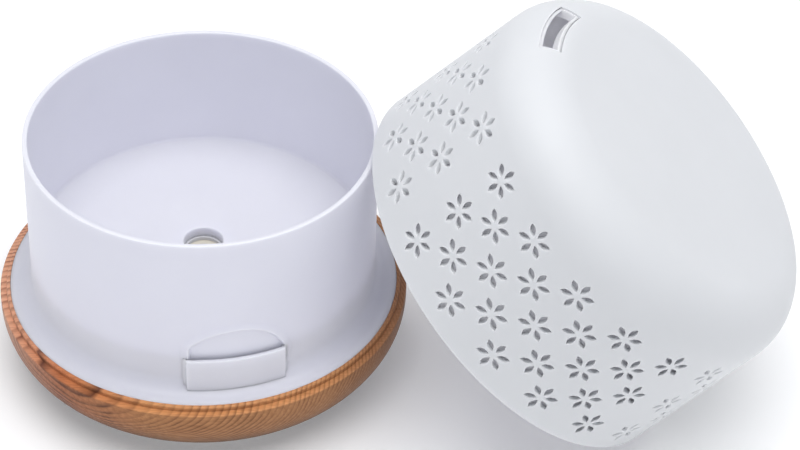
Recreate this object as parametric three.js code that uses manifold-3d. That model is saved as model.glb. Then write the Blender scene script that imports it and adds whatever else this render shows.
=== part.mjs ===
// An ultrasonic essential oil diffuser with its perforated cover taken off and leaning beside the base.
// Millimetres, +Z up. The origin is the middle of the base's underside, and +X points to the leaning cover.
import * as THREE from 'three';
import { mergeVertices } from 'three/addons/utils/BufferGeometryUtils.js';
import Module from 'manifold-3d';

const wasm = await Module();
wasm.setup();

// ---------------------------------------------------------------- driving dimensions

const ROUND_STEPS = 40; // facets round the large turned pieces
const SMALL_STEPS = 12; // facets round screws, posts and other small round pieces
const GAP = 0.3; // clearance between pieces that only rest on each other

const FOOT_HEIGHT = 1.2; // how far the feet stand out under the base
const FLOOR = -FOOT_HEIGHT;

// Base housing ring
const BASE_RADIUS = 83.5;
const TRAY_TOP = 33.8; // height of the white tray round the tank
const BULGE_HEIGHT = 27.8; // the side is upright here and curves inwards below
const BULGE_REACH = 34; // how far the side curves inwards, if it ran on down to the underside
const RING_WALL = 2.6;
const RING_FOOT = 2.4; // height of the ring's lower edge
const SEAT_HEIGHT = 31.5; // seat of the cover's rim, outside the locating lip
const LIP_OUTER = 80.9;
const LIP_INNER = 79.4;
const LEDGE_INNER = 78.3; // ledge that carries the edge of the tray
const LEDGE_TOP = 27.6;

// Water tank
const TANK_RADIUS = 70.4;
const TANK_WALL = 2;
const TANK_RIM = TRAY_TOP + 72.9;
const TANK_FLOOR = TRAY_TOP + 18;
const FLOOR_THICKNESS = 2.2;
const FLOOR_UNDERSIDE = TANK_FLOOR - FLOOR_THICKNESS;
const TRAY_RADIUS = 79.1;
const TRAY_UNDERSIDE = TRAY_TOP - 2.2;
const FOOT_FILLET = 7;
const SUMP_RADIUS = 8; // opening over the mist generator

// Air outlet block on the foot of the tank
const OUTLET_TURN = THREE.MathUtils.degToRad(14.8); // from straight ahead towards +X
const OUTLET_HALF_ANGLE = THREE.MathUtils.degToRad(16.9);
const OUTLET_RADIUS = 72.9;
const OUTLET_HEIGHT = 16.6;
const SLOT_INNER_RADIUS = 70.5;
const SLOT_OUTER_RADIUS = 71.5;
const SLOT_END_WALL = 1.9;
const MOON_BORDER = 2.2; // width of the raised border round the half-moon over the slot
const MOON_RISE = 0.8;
const MOON_DEPTH = 0.3;

// Cover
const COVER_RADIUS = 83;
const COVER_HEIGHT = 87;
const COVER_DRAFT = 0.027; // loss of radius for each millimetre of height
const COVER_ROUNDING = 22;
const COVER_WALL = 2.2;
const HOOD_INSET = COVER_WALL + 0.7; // the hood's outside, measured in from the cover's outside
const HOOD_WALL = 1.2;

// How the cover leans beside the base
const COVER_AZIMUTH = THREE.MathUtils.degToRad(-5.5);
const COVER_TILT = THREE.MathUtils.degToRad(42.4);
const COVER_SPIN = THREE.MathUtils.degToRad(166.8);
const COVER_REACH = 130.3; // from the base's axis to the middle of the cover's rim

// Mist slot of the cover
const MIST_INNER_RADIUS = 65.4;
const MIST_OUTER_RADIUS = 73.4;
const MIST_HALF_ANGLE = THREE.MathUtils.degToRad(14.5);
const CHIMNEY_WALL = 0.9;

// Fasteners
const BOSS_RADIUS = 52; // of the circle of the four case screws
const BOSS_ANGLE = THREE.MathUtils.degToRad(40);
const CLAMP_SCREW_CIRCLE = 18;

// Fan and its duct, in a frame turned with the outlet
const FAN_SIZE = 40;
const FAN_Y = -28;
const FAN_BOTTOM = 4.4;
const FAN_TOP = 14.4;
const FAN_BORE = 18.6;
const FAN_HOLE_REACH = 16;

// Boards
const BOARD = { x: -4, y: 24, width: 64, depth: 34, bottom: 18, top: 19.6 };
const BOARD_POSTS = [[-28, -13], [28, 13]];
const LED_RING = { inner: 30, outer: 42, middle: 36, bottom: 44.6, top: 46.2 };
const LED_COUNT = 6;

// Buttons, at the back
const BUTTON_X = 17;
const BUTTON_Z = 22;
const BUTTON_RADIUS = 4.5;
const BUTTON_FACE = 81.9;
const BUTTON_BACK = 72.6;

// Power socket
const JACK_ANGLE = THREE.MathUtils.degToRad(160);
const JACK_Z = 19;
const JACK_PANEL_OUT = 77;
const JACK_PANEL_IN = 73.5;

// ---------------------------------------------------------------- geometry helpers

// Merged vertices, no collapsed triangles, faces pointing out.
function closed(geometry) {
  const bare = geometry.index ? geometry.toNonIndexed() : geometry.clone();
  bare.deleteAttribute('normal');
  bare.deleteAttribute('uv');
  const merged = mergeVertices(bare, 1e-4);
  const source = merged.index.array;
  const p = merged.attributes.position;
  const corners = [new THREE.Vector3(), new THREE.Vector3(), new THREE.Vector3()];
  let triangles = [];
  let volume = 0;
  for (let i = 0; i < source.length; i += 3) {
    const [a, b, c] = [source[i], source[i + 1], source[i + 2]];
    if (a === b || b === c || c === a) continue;
    triangles.push(a, b, c);
    [a, b, c].forEach((vertex, k) => corners[k].fromBufferAttribute(p, vertex));
    volume += corners[0].dot(corners[1].clone().cross(corners[2]));
  }
  if (volume < 0) triangles = triangles.reverse();
  merged.setIndex(triangles);
  return merged;
}

function solid(geometry) {
  const merged = closed(geometry);
  return new wasm.Manifold(new wasm.Mesh({
    numProp: 3,
    vertProperties: Float32Array.from(merged.attributes.position.array),
    triVerts: Uint32Array.from(merged.index.array),
  }));
}

function surface(manifold) {
  const mesh = manifold.getMesh();
  const geometry = new THREE.BufferGeometry();
  geometry.setAttribute('position', new THREE.BufferAttribute(Float32Array.from(mesh.vertProperties), 3));
  geometry.setIndex(Array.from(mesh.triVerts));
  geometry.computeVertexNormals();
  return geometry;
}

// Adds and cuts are lists of geometries.
function carve(base, { adds = [], cuts = [] }) {
  let body = solid(base);
  for (const piece of adds) body = body.add(solid(piece));
  for (const piece of cuts) body = body.subtract(solid(piece));
  return surface(body);
}

function meet(first, second) {
  return surface(solid(first).intersect(solid(second)));
}

// A turned solid: a profile of [radius, height] pairs, on the axis at both ends or closed on itself.
function turned(profile, steps = SMALL_STEPS) {
  const points = profile.map(([radius, height]) => new THREE.Vector2(radius, height));
  const onAxis = profile[0][0] === 0 && profile[profile.length - 1][0] === 0;
  if (!onAxis) points.push(points[0].clone());
  return closed(new THREE.LatheGeometry(points, steps).rotateX(Math.PI / 2));
}

function disc(radius, bottom, top, steps = SMALL_STEPS) {
  return turned([[0, bottom], [radius, bottom], [radius, top], [0, top]], steps);
}

function collar(inner, outer, bottom, top, steps = SMALL_STEPS) {
  return turned([[inner, bottom], [outer, bottom], [outer, top], [inner, top]], steps);
}

function block(x0, x1, y0, y1, z0, z1) {
  const box = new THREE.BoxGeometry(x1 - x0, y1 - y0, z1 - z0);
  return box.translate((x0 + x1) / 2, (y0 + y1) / 2, (z0 + z1) / 2);
}

function prism(shape, bottom, top, curveSegments = SMALL_STEPS) {
  const depth = top - bottom;
  const geometry = new THREE.ExtrudeGeometry(shape, { depth, bevelEnabled: false, curveSegments });
  return geometry.translate(0, 0, bottom);
}

function polygon(points) {
  return new THREE.Shape(points.map(([x, y]) => new THREE.Vector2(x, y)));
}

// Part of a ring, about the direction `middle`.
function sector(inner, outer, middle, halfAngle, bottom, top, steps) {
  const shape = new THREE.Shape();
  shape.absarc(0, 0, outer, middle - halfAngle, middle + halfAngle, false);
  shape.absarc(0, 0, inner, middle + halfAngle, middle - halfAngle, true);
  return prism(shape, bottom, top, steps);
}

// A tube along hand-placed points.
function tube(points, radius, steps) {
  const circle = new THREE.Shape().absarc(0, 0, radius, 0, 2 * Math.PI, false);
  const path = new THREE.CatmullRomCurve3(points.map((point) => new THREE.Vector3(...point)));
  return new THREE.ExtrudeGeometry(circle, { steps, extrudePath: path, bevelEnabled: false, curveSegments: 4 });
}

function at(geometry, x, y, z = 0) {
  return geometry.clone().translate(x, y, z);
}

// Lays a piece that was built along +Z so that it points outwards along the direction `angle`.
function pointedOut(geometry, angle, height) {
  return geometry.clone().rotateY(Math.PI / 2).rotateZ(angle).translate(0, 0, height);
}

// Lays a piece that was built along +Z so that it points along +Y.
function pointedBack(geometry, x, z) {
  return geometry.clone().rotateX(-Math.PI / 2).translate(x, 0, z);
}

function onCircle(radius, angle) {
  return [radius * Math.cos(angle), radius * Math.sin(angle)];
}

// Turned from straight ahead to face the air outlet.
function outletPoint(x, y) {
  const point = new THREE.Vector2(x, y).rotateAround(new THREE.Vector2(0, 0), OUTLET_TURN);
  return [point.x, point.y];
}

function arc(centre, reach, rise, from, to, steps) {
  const points = [];
  for (let i = 0; i <= steps; i += 1) {
    const angle = THREE.MathUtils.degToRad(from + ((to - from) * i) / steps);
    points.push([centre[0] + reach * Math.cos(angle), centre[1] + rise * Math.sin(angle)]);
  }
  return points;
}

const caseScrewPlaces = [BOSS_ANGLE, Math.PI - BOSS_ANGLE, Math.PI + BOSS_ANGLE, -BOSS_ANGLE]
  .map((angle) => onCircle(BOSS_RADIUS, angle));
const footPlaces = [0, 1, 2, 3].map((i) => onCircle(54, (i * Math.PI) / 2));
const clampScrewPlaces = [30, 150, 270].map((turn) => {
  return onCircle(CLAMP_SCREW_CIRCLE, THREE.MathUtils.degToRad(turn));
});
const ledScrewPlaces = [0, Math.PI].map((angle) => onCircle(LED_RING.middle, angle));
const fanScrewPlaces = [-1, 1].map((side) => [side * FAN_HOLE_REACH, FAN_Y + FAN_HOLE_REACH]);
const boardScrewPlaces = BOARD_POSTS.map(([x, y]) => [BOARD.x + x, BOARD.y + y]);

// ---------------------------------------------------------------- materials

const finishes = {
  wood: { color: 0xb97a4f, roughness: 0.5, metalness: 0 },
  white: { color: 0xdfe0e6, roughness: 0.55, metalness: 0 },
  cover: { color: 0xe3e4e9, roughness: 0.65, metalness: 0 },
  hood: { color: 0xd8d9e0, roughness: 0.5, metalness: 0 },
  underside: { color: 0xe8e8ea, roughness: 0.6, metalness: 0 },
  rubber: { color: 0x3a3a3c, roughness: 0.9, metalness: 0 },
  silicone: { color: 0xc9cacc, roughness: 0.7, metalness: 0 },
  steel: { color: 0xb8babd, roughness: 0.35, metalness: 1 },
  ceramic: { color: 0xd9d4c8, roughness: 0.4, metalness: 0 },
  board: { color: 0x1f6b43, roughness: 0.5, metalness: 0 },
  black: { color: 0x222326, roughness: 0.5, metalness: 0 },
  copper: { color: 0xb06a35, roughness: 0.4, metalness: 1 },
  aluminium: { color: 0xc4c6c9, roughness: 0.4, metalness: 1 },
  lead: { color: 0x8f2f2a, roughness: 0.6, metalness: 0 },
  button: { color: 0xe6e6e9, roughness: 0.45, metalness: 0 },
  led: { color: 0xf4f1e4, roughness: 0.3, metalness: 0 },
};

const diffuser = new THREE.Group();
const outletGroup = new THREE.Group(); // pieces that line up with the air outlet
outletGroup.rotation.z = OUTLET_TURN;
diffuser.add(outletGroup);

function add(name, finish, geometry, parent = diffuser) {
  const material = new THREE.MeshStandardMaterial(finishes[finish]);
  const mesh = new THREE.Mesh(closed(geometry), material);
  mesh.name = name;
  parent.add(mesh);
  return mesh;
}

// ---------------------------------------------------------------- base housing ring

function baseRing() {
  const centre = [BASE_RADIUS - BULGE_REACH, BULGE_HEIGHT];
  const inside = [BULGE_REACH - RING_WALL, BULGE_HEIGHT - RING_WALL];
  const profile = [
    ...arc(centre, BULGE_REACH, BULGE_HEIGHT, -66, 0, 7),
    [BASE_RADIUS, SEAT_HEIGHT - 0.5],
    [BASE_RADIUS - 0.5, SEAT_HEIGHT],
    [LIP_OUTER, SEAT_HEIGHT],
    [LIP_OUTER, TRAY_TOP - 0.5],
    [LIP_OUTER - 0.5, TRAY_TOP],
    [LIP_INNER, TRAY_TOP],
    [LIP_INNER, LEDGE_TOP],
    [LEDGE_INNER, LEDGE_TOP],
    [LEDGE_INNER, LEDGE_TOP - 2],
    ...arc(centre, ...inside, -5, -67, 5),
    [58.5, 4.6],
    [58.5, RING_FOOT],
  ];
  const buttonHoles = [-1, 1].map((side) => {
    return pointedBack(disc(BUTTON_RADIUS + 0.4, 60, 90), side * BUTTON_X, BUTTON_Z);
  });
  return carve(turned(profile, ROUND_STEPS), {
    adds: [pointedOut(disc(7.5, JACK_PANEL_IN, JACK_PANEL_OUT - 0.1), JACK_ANGLE, JACK_Z)],
    cuts: [
      ...buttonHoles,
      pointedOut(disc(5.5, JACK_PANEL_OUT, 90), JACK_ANGLE, JACK_Z),
      pointedOut(disc(4.2, 70, 90), JACK_ANGLE, JACK_Z),
    ],
  });
}

add('base_ring', 'wood', baseRing());

// ---------------------------------------------------------------- tank, tray and air outlet block

// Half-moon outline over the outlet slot, seen from outside: x to the right, y up.
function halfMoon(grow) {
  const shape = new THREE.Shape();
  shape.moveTo(-18.3 - grow, -4);
  shape.lineTo(-18.3 - grow, 5 + grow * 0.6);
  shape.bezierCurveTo(-13 - grow, 13.5 + grow, 13.7 + grow, 20.5 + grow, 20.1 + grow, -1.5);
  shape.lineTo(20.1 + grow, -4);
  return shape;
}

// The half-moon as a band of the tank's outside between two radii.
function halfMoonBand(grow, inner, outer) {
  const plug = prism(halfMoon(grow), 60, 80, 10).rotateX(Math.PI / 2);
  const band = collar(inner, outer, 0, 40, ROUND_STEPS);
  const slotLine = TRAY_TOP + OUTLET_HEIGHT;
  return meet(plug, band.translate(0, 0, -5)).translate(0, 0, slotLine).rotateZ(OUTLET_TURN);
}

function buttonBoardRib(side) {
  const rib = block(side > 0 ? 21.5 : -25.5, side > 0 ? 25.5 : -21.5, 65.4, 68.6, 15, TRAY_UNDERSIDE + 1);
  const groove = block(side > 0 ? 20 : -23.6, side > 0 ? 23.6 : -20, 65.9, 67.7, 15.8, TRAY_UNDERSIDE);
  return surface(solid(rib).subtract(solid(groove)));
}

function tank() {
  const innerRadius = TANK_RADIUS - TANK_WALL;
  const profile = [
    [SUMP_RADIUS, TANK_FLOOR],
    [innerRadius - 1, TANK_FLOOR],
    [innerRadius, TANK_FLOOR + 1],
    [innerRadius, TANK_RIM - 0.5],
    [innerRadius + 0.5, TANK_RIM],
    [TANK_RADIUS - 0.5, TANK_RIM],
    [TANK_RADIUS, TANK_RIM - 0.5],
    ...arc([TANK_RADIUS + FOOT_FILLET, TRAY_TOP + FOOT_FILLET], FOOT_FILLET, FOOT_FILLET, 180, 270, 4),
    [TRAY_RADIUS - 0.5, TRAY_TOP],
    [TRAY_RADIUS, TRAY_TOP - 0.5],
    [TRAY_RADIUS, LEDGE_TOP + 0.4],
    [TRAY_RADIUS - 2, LEDGE_TOP + 0.4],
    [TRAY_RADIUS - 2, TRAY_UNDERSIDE],
    [innerRadius, TRAY_UNDERSIDE],
    [innerRadius, FLOOR_UNDERSIDE],
    [13, FLOOR_UNDERSIDE],
    [13, 45.2],
    [10.6, 45.2],
    [10.6, 47.4],
    [SUMP_RADIUS, 47.4],
  ];
  const outlet = (inner, outer, trim, bottom, top) => sector(
    inner, outer, OUTLET_TURN - Math.PI / 2, OUTLET_HALF_ANGLE - trim, bottom, top, 12);
  const outletTop = TRAY_TOP + OUTLET_HEIGHT;
  const slotTrim = SLOT_END_WALL / OUTLET_RADIUS;
  const posts = [
    ...caseScrewPlaces.map(([x, y]) => at(disc(3.4, 2.6, TANK_FLOOR - 1, 10), x, y)),
    ...clampScrewPlaces.map(([x, y]) => at(disc(2.4, 44.9, TANK_FLOOR - 1, 8), x, y)),
    ...ledScrewPlaces.map(([x, y]) => at(disc(2.4, LED_RING.top + 0.1, TANK_FLOOR - 1, 8), x, y)),
  ];
  const screwHoles = [
    ...caseScrewPlaces.map(([x, y]) => at(disc(1.2, 0, 15, 8), x, y)),
    ...clampScrewPlaces.map(([x, y]) => at(disc(1, 40, TANK_FLOOR - 1.2, 8), x, y)),
    ...ledScrewPlaces.map(([x, y]) => at(disc(1, 40, TANK_FLOOR - 1.2, 8), x, y)),
  ];
  return carve(turned(profile, ROUND_STEPS), {
    adds: [
      outlet(TANK_RADIUS - 1, OUTLET_RADIUS, 0, TRAY_TOP - 1, outletTop),
      halfMoonBand(MOON_BORDER, TANK_RADIUS - 1, TANK_RADIUS + MOON_RISE),
      buttonBoardRib(-1),
      buttonBoardRib(1),
      ...posts,
    ],
    cuts: [
      halfMoonBand(0, TANK_RADIUS - MOON_DEPTH, OUTLET_RADIUS + 2),
      outlet(SLOT_INNER_RADIUS, SLOT_OUTER_RADIUS, slotTrim, TRAY_UNDERSIDE - 1, outletTop + 1),
      ...screwHoles,
    ],
  });
}

add('tank', 'white', tank());

// ---------------------------------------------------------------- bottom cover, feet and case screws

function bottomCover() {
  const thickness = RING_FOOT - 0.2;
  const rimRadius = 58.2;
  const profile = [
    [0, 0],
    [62.3, 0],
    [62.9, 0.6],
    [62.9, thickness],
    [rimRadius, thickness],
    [rimRadius, 4.2],
    [rimRadius - 1.6, 4.2],
    [rimRadius - 1.6, thickness],
    [0, thickness],
  ];
  const intake = [];
  for (let i = -3; i <= 3; i += 1) {
    const y = FAN_Y + i * 4.4;
    const reach = Math.sqrt(17 ** 2 - (i * 4.4) ** 2);
    intake.push(block(-reach, reach, y - 1.2, y + 1.2, -1, 3).rotateZ(OUTLET_TURN));
  }
  const fanCorners = [[-1, -1], [-1, 1], [1, -1], [1, 1]].map(([i, j]) => outletPoint(
    i * FAN_HOLE_REACH, FAN_Y + j * FAN_HOLE_REACH));
  const sides = [[-1, -1], [-1, 1], [1, -1], [1, 1]];
  const boardCorners = sides.map(([i, j]) => [BOARD.x + 28 * i, BOARD.y + 13 * j]);
  return carve(turned(profile, ROUND_STEPS), {
    adds: [
      ...fanCorners.map(([x, y]) => at(disc(2.6, 1, FAN_BOTTOM - 0.1, 8), x, y)),
      ...boardCorners.map(([x, y]) => at(disc(2.4, 1, BOARD.bottom - 0.1, 8), x, y)),
    ],
    cuts: [
      ...intake,
      ...footPlaces.map(([x, y]) => at(disc(5.3, -1, 0.8, 12), x, y)),
      ...caseScrewPlaces.map(([x, y]) => at(disc(3, -1, 1.4, 10), x, y)),
      ...caseScrewPlaces.map(([x, y]) => at(disc(1.5, -1, 5, 8), x, y)),
      ...fanScrewPlaces.map(([x, y]) => at(disc(1.1, 1.2, 6, 8), ...outletPoint(x, y))),
      ...boardScrewPlaces.map(([x, y]) => at(disc(1, 8, 20, 8), x, y)),
    ],
  });
}

// A screw along +Z, its head below: head and shank as one turned solid, with a driver slot.
function screw(headRadius, headHeight, shankRadius, length) {
  const profile = [
    [0, 0],
    [headRadius - 0.3, 0],
    [headRadius, 0.4],
    [headRadius, headHeight],
    [shankRadius, headHeight],
    [shankRadius, length - 0.8],
    [0.2, length],
    [0, length],
  ];
  const reach = headRadius * 0.6;
  return carve(turned(profile, 8), { cuts: [block(-reach, reach, -0.3, 0.3, -1, 0.6)] });
}

function screwDown(headRadius, headHeight, shankRadius, length) {
  return screw(headRadius, headHeight, shankRadius, length).rotateX(Math.PI);
}

add('bottom_cover', 'underside', bottomCover());
footPlaces.forEach(([x, y], i) => {
  const foot = turned([[0, FLOOR], [4.4, FLOOR], [5, FLOOR + 0.5], [5, 0.7], [0, 0.7]]);
  add(`foot_${i + 1}`, 'rubber', at(foot, x, y));
});
caseScrewPlaces.forEach(([x, y], i) => {
  add(`case_screw_${i + 1}`, 'steel', at(screw(2.6, 1.1, 1, 13), x, y, 0.2));
});

// ---------------------------------------------------------------- mist generator

function transducerClamp() {
  const ears = clampScrewPlaces.map(([x, y]) => {
    const ear = block(8, CLAMP_SCREW_CIRCLE, -2.6, 2.6, 43.7, 44.8).rotateZ(Math.atan2(y, x));
    return surface(solid(ear).add(solid(at(disc(2.6, 43.7, 44.8, 10), x, y))));
  });
  return carve(collar(6, 12.6, 43.7, 44.8, 24), {
    adds: ears,
    cuts: clampScrewPlaces.map(([x, y]) => at(disc(1.3, 42, 46, 8), x, y)),
  });
}

add('transducer_disc', 'ceramic', disc(10, 44.9, 45.8, 24));
add('transducer_seal', 'silicone', collar(7.2, 10.4, 45.9, 47.3, 24));
add('transducer_clamp', 'steel', transducerClamp());
clampScrewPlaces.forEach(([x, y], i) => {
  add(`clamp_screw_${i + 1}`, 'steel', at(screw(2.2, 1.2, 0.8, 6.4), x, y, 42.4));
});

// ---------------------------------------------------------------- fan, duct and fan screws

function fanFrame() {
  const half = FAN_SIZE / 2;
  const hub = disc(8.5, FAN_TOP - 1.4, FAN_TOP);
  const arms = [0, 1, 2, 3].map((i) => (
    block(7, FAN_BORE + 0.4, -1.2, 1.2, FAN_TOP - 1.4, FAN_TOP).rotateZ(Math.PI / 4 + (i * Math.PI) / 2)));
  const housing = surface(solid(block(-half, half, -half, half, FAN_BOTTOM, FAN_TOP))
    .subtract(solid(disc(FAN_BORE, FAN_BOTTOM - 1, FAN_TOP + 1, 32))));
  const holes = [[-1, -1], [-1, 1], [1, -1], [1, 1]].map(([i, j]) => (
    at(disc(1.7, 0, 20, 10), i * FAN_HOLE_REACH, j * FAN_HOLE_REACH)));
  return carve(housing, { adds: [...arms, hub], cuts: holes }).translate(0, FAN_Y, 0);
}

function fanRotor() {
  const blades = [];
  for (let i = 0; i < 7; i += 1) {
    const blade = block(7, 17.8, -0.5, 0.5, -4, 4).rotateX(THREE.MathUtils.degToRad(50));
    blades.push(blade.translate(0, 0, 8.7).rotateZ((i * 2 * Math.PI) / 7));
  }
  return carve(disc(8.2, 5, 12.5, 20), { adds: blades }).translate(0, FAN_Y, 0);
}

function airDuct() {
  const wall = 1.2;
  const floorHeight = FAN_TOP + GAP;
  const half = FAN_SIZE / 2;
  const upright = (points, halfWidth) => (
    prism(polygon(points), -halfWidth, halfWidth).rotateX(Math.PI / 2).rotateZ(Math.PI / 2));
  const outer = upright([
    [FAN_Y, floorHeight], [-63, floorHeight], [-74, 24], [-74, TRAY_UNDERSIDE - GAP],
    [-67, TRAY_UNDERSIDE - GAP], [-60, 24], [FAN_Y, 24],
  ], 20);
  const inner = upright([
    [FAN_Y, floorHeight + wall], [-62.6, floorHeight + wall], [-72.8, 24.5], [-72.8, 34],
    [-68.2, 34], [-68.2, 31.1], [-60.5, 22.8], [FAN_Y, 22.8],
  ], 18.8);
  return carve(block(-half, half, FAN_Y - half, FAN_Y + half, floorHeight, floorHeight + wall), {
    adds: [at(disc(19.8, floorHeight, 24, 32), 0, FAN_Y), outer],
    cuts: [
      at(disc(FAN_BORE, 10, 22.8, 32), 0, FAN_Y),
      inner,
      ...fanScrewPlaces.map(([x, y]) => at(disc(1.7, 10, 20, 10), x, y)),
    ],
  });
}

add('fan_frame', 'black', fanFrame(), outletGroup);
add('fan_rotor', 'black', fanRotor(), outletGroup);
add('air_duct', 'underside', airDuct(), outletGroup);
fanScrewPlaces.forEach(([x, y], i) => {
  add(`fan_screw_${i + 1}`, 'steel', at(screwDown(2.4, 1.4, 0.95, 15.6), x, y, 17.4), outletGroup);
});

// ---------------------------------------------------------------- control board

function controlBoard() {
  const { x, y, width, depth, bottom, top } = BOARD;
  return carve(block(x - width / 2, x + width / 2, y - depth / 2, y + depth / 2, bottom, top), {
    cuts: boardScrewPlaces.map(([px, py]) => at(disc(1.3, 10, 30, 10), px, py)),
  });
}

function driveCoil() {
  return turned([[0, 0], [5, 0], [5, 1], [3.8, 1], [3.8, 8], [5, 8], [5, 9], [0, 9]], 20);
}

function capacitor(radius, height) {
  return turned([
    [0, 0], [radius, 0], [radius, 1.2], [radius - 0.3, 1.7], [radius, 2.2],
    [radius, height - 0.4], [radius - 0.4, height], [0, height],
  ]);
}

function heatSink() {
  const fins = [-3, -1, 1, 3].map((i) => block(i * 2.4 - 0.5, i * 2.4 + 0.5, 1, 6, 0, 14));
  return carve(block(-8, 8, 0, 1.6, 0, 14), { adds: fins });
}

const onBoard = BOARD.top + 0.05;
add('control_board', 'board', controlBoard());
add('drive_coil', 'copper', at(driveCoil(), -24, 30, onBoard));
add('capacitor_1', 'black', at(capacitor(4, 11), -9, 34, onBoard));
add('capacitor_2', 'black', at(capacitor(3.2, 9), 0, 34, onBoard));
add('transistor', 'black', block(9, 19, 29, 32.6, onBoard, onBoard + 13));
add('heat_sink', 'aluminium', at(heatSink(), 14, 32.8, onBoard));
add('controller_chip', 'black', block(-16, -8, 20, 26, onBoard, onBoard + 1.5));
add('board_connector', 'white', carve(block(-18, 14, 9, 15, onBoard, onBoard + 6), {
  cuts: [-14, -6, 2, 10].map((x) => block(x - 2.4, x + 2.4, 10.4, 13.6, onBoard + 3, onBoard + 8)),
}));
boardScrewPlaces.forEach(([x, y], i) => {
  add(`board_screw_${i + 1}`, 'steel', at(screwDown(2.2, 1.3, 0.8, 8), x, y, BOARD.top + 1.5));
});

// ---------------------------------------------------------------- light ring

function ledBoard() {
  const { inner, outer, bottom, top } = LED_RING;
  return carve(collar(inner, outer, bottom, top, 32), {
    cuts: ledScrewPlaces.map(([x, y]) => at(disc(1.3, bottom - 1, top + 1, 10), x, y)),
  });
}

add('led_board', 'board', ledBoard());
for (let i = 0; i < LED_COUNT; i += 1) {
  const lamp = carve(block(-2.5, 2.5, -2.5, 2.5, 0, 1.2), {
    adds: [turned([[0, 0.5], [2, 0.5], [1.6, 1.8], [0, 2.1]])],
  });
  const [x, y] = onCircle(LED_RING.middle, ((i + 0.5) * 2 * Math.PI) / LED_COUNT);
  add(`led_${i + 1}`, 'led', at(lamp, x, y, LED_RING.top + 0.05));
}
ledScrewPlaces.forEach(([x, y], i) => {
  add(`led_screw_${i + 1}`, 'steel', at(screw(2, 1.1, 0.8, 5.4), x, y, LED_RING.bottom - 1.2));
});

// ---------------------------------------------------------------- buttons and their board

function pushButton() {
  return turned([
    [0, BUTTON_BACK], [2.4, BUTTON_BACK], [2.4, 73.6], [5.2, 73.6], [5.2, 74.8], [BUTTON_RADIUS, 74.8],
    [BUTTON_RADIUS, BUTTON_FACE - 0.9], [BUTTON_RADIUS - 0.6, BUTTON_FACE - 0.2], [0, BUTTON_FACE],
  ], 16);
}

function tactSwitch() {
  return carve(block(-3, 3, -3, 3, 67.65, 71.1), { cuts: [disc(1.9, 68.6, 72)] });
}

add('button_board', 'board', block(-23.3, 23.3, 66, 67.6, 16, 28));
[['mist', -1], ['light', 1]].forEach(([name, side]) => {
  add(`${name}_button`, 'button', pointedBack(pushButton(), side * BUTTON_X, BUTTON_Z));
  add(`${name}_switch`, 'black', pointedBack(tactSwitch(), side * BUTTON_X, BUTTON_Z));
  const plunger = disc(1.7, 69.8, BUTTON_BACK - GAP);
  add(`${name}_switch_plunger`, 'steel', pointedBack(plunger, side * BUTTON_X, BUTTON_Z));
});

// ---------------------------------------------------------------- power socket

function powerSocket() {
  const profile = [
    [0, 62], [3.9, 62], [3.9, JACK_PANEL_OUT + 0.1], [5, JACK_PANEL_OUT + 0.1],
    [5, 78.2], [4.6, 78.6], [2.75, 78.6],
    [2.75, 68], [1, 68], [1, 76], [0.6, 76.5], [0, 76.5],
  ];
  return pointedOut(turned(profile, 14), JACK_ANGLE, JACK_Z);
}

add('dc_jack', 'black', powerSocket());
add('dc_jack_nut', 'steel', carve(pointedOut(disc(6.2, 70.9, 73.3, 6), JACK_ANGLE, JACK_Z), {
  cuts: [pointedOut(disc(4.1, 70, 74, 20), JACK_ANGLE, JACK_Z)],
}));

// ---------------------------------------------------------------- internal leads

const jackBack = onCircle(61.6, JACK_ANGLE);
const plug = (x) => [x, 12, onBoard + 3.4];
const rise = (x) => [x, 12, onBoard + 8];
const leads = {
  power_lead: [
    [...jackBack, JACK_Z], [-52, 19, 20], [-44, 18, 25],
    [-36, 20, 28], [-32, 21, 25], [-32, 21, onBoard + 0.3],
  ],
  transducer_lead: [plug(-14), rise(-14), [-10, 9, 36], [-2, 2, 39], [0, 0, 42], [0, 0, 44.5]],
  led_lead: [plug(-6), rise(-6), [-14, 15, 37], [-26, 18.5, 39], [-30, 20, 42], [-30, 20, 44.2]],
  fan_lead: [plug(2), rise(2), [2, 8, 31], [2, 1, 27], [2, -3, 18], [1.7, -4.2, 10.5], [1.5, -6.9, 9]],
  button_lead: [
    plug(10), rise(10), [17, 17, 33], [26, 30, 33],
    [22, 50, 28], [6, 60.5, 22.5], [0, 62, 22], [-1, 65.2, 22],
  ],
};
for (const [name, route] of Object.entries(leads)) {
  add(name, 'lead', tube(route, 1, 12));
}

// ---------------------------------------------------------------- cover and mist hood

// The cover stands in its own frame: z up from its rim, the mist slot on +x.
const lean = new THREE.Group();
lean.position.set(
  COVER_REACH * Math.cos(COVER_AZIMUTH),
  COVER_REACH * Math.sin(COVER_AZIMUTH),
  FLOOR + COVER_RADIUS * Math.sin(COVER_TILT),
);
lean.rotation.z = COVER_AZIMUTH;
const tilt = new THREE.Group();
tilt.rotation.y = COVER_TILT;
const coverGroup = new THREE.Group();
coverGroup.rotation.z = COVER_SPIN;
diffuser.add(lean);
lean.add(tilt);
tilt.add(coverGroup);

// The cover's outline moved inwards by `inset`, from its rim at `bottom` up to the axis.
function coverSide(inset, bottom, steps) {
  const shoulder = COVER_HEIGHT - COVER_ROUNDING;
  const radiusAt = (height) => COVER_RADIUS - COVER_DRAFT * height - inset;
  const rounding = COVER_ROUNDING - inset;
  const centre = [radiusAt(shoulder) - rounding, shoulder];
  const curve = arc(centre, rounding, rounding, 0, 90, steps);
  return [[radiusAt(bottom), bottom], ...curve, [0, COVER_HEIGHT - inset]];
}

function mistSector(grow, bottom, top) {
  const turn = grow / MIST_OUTER_RADIUS;
  const [inner, outer] = [MIST_INNER_RADIUS - grow, MIST_OUTER_RADIUS + grow];
  return sector(inner, outer, 0, MIST_HALF_ANGLE + turn, bottom, top, 6);
}

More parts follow.
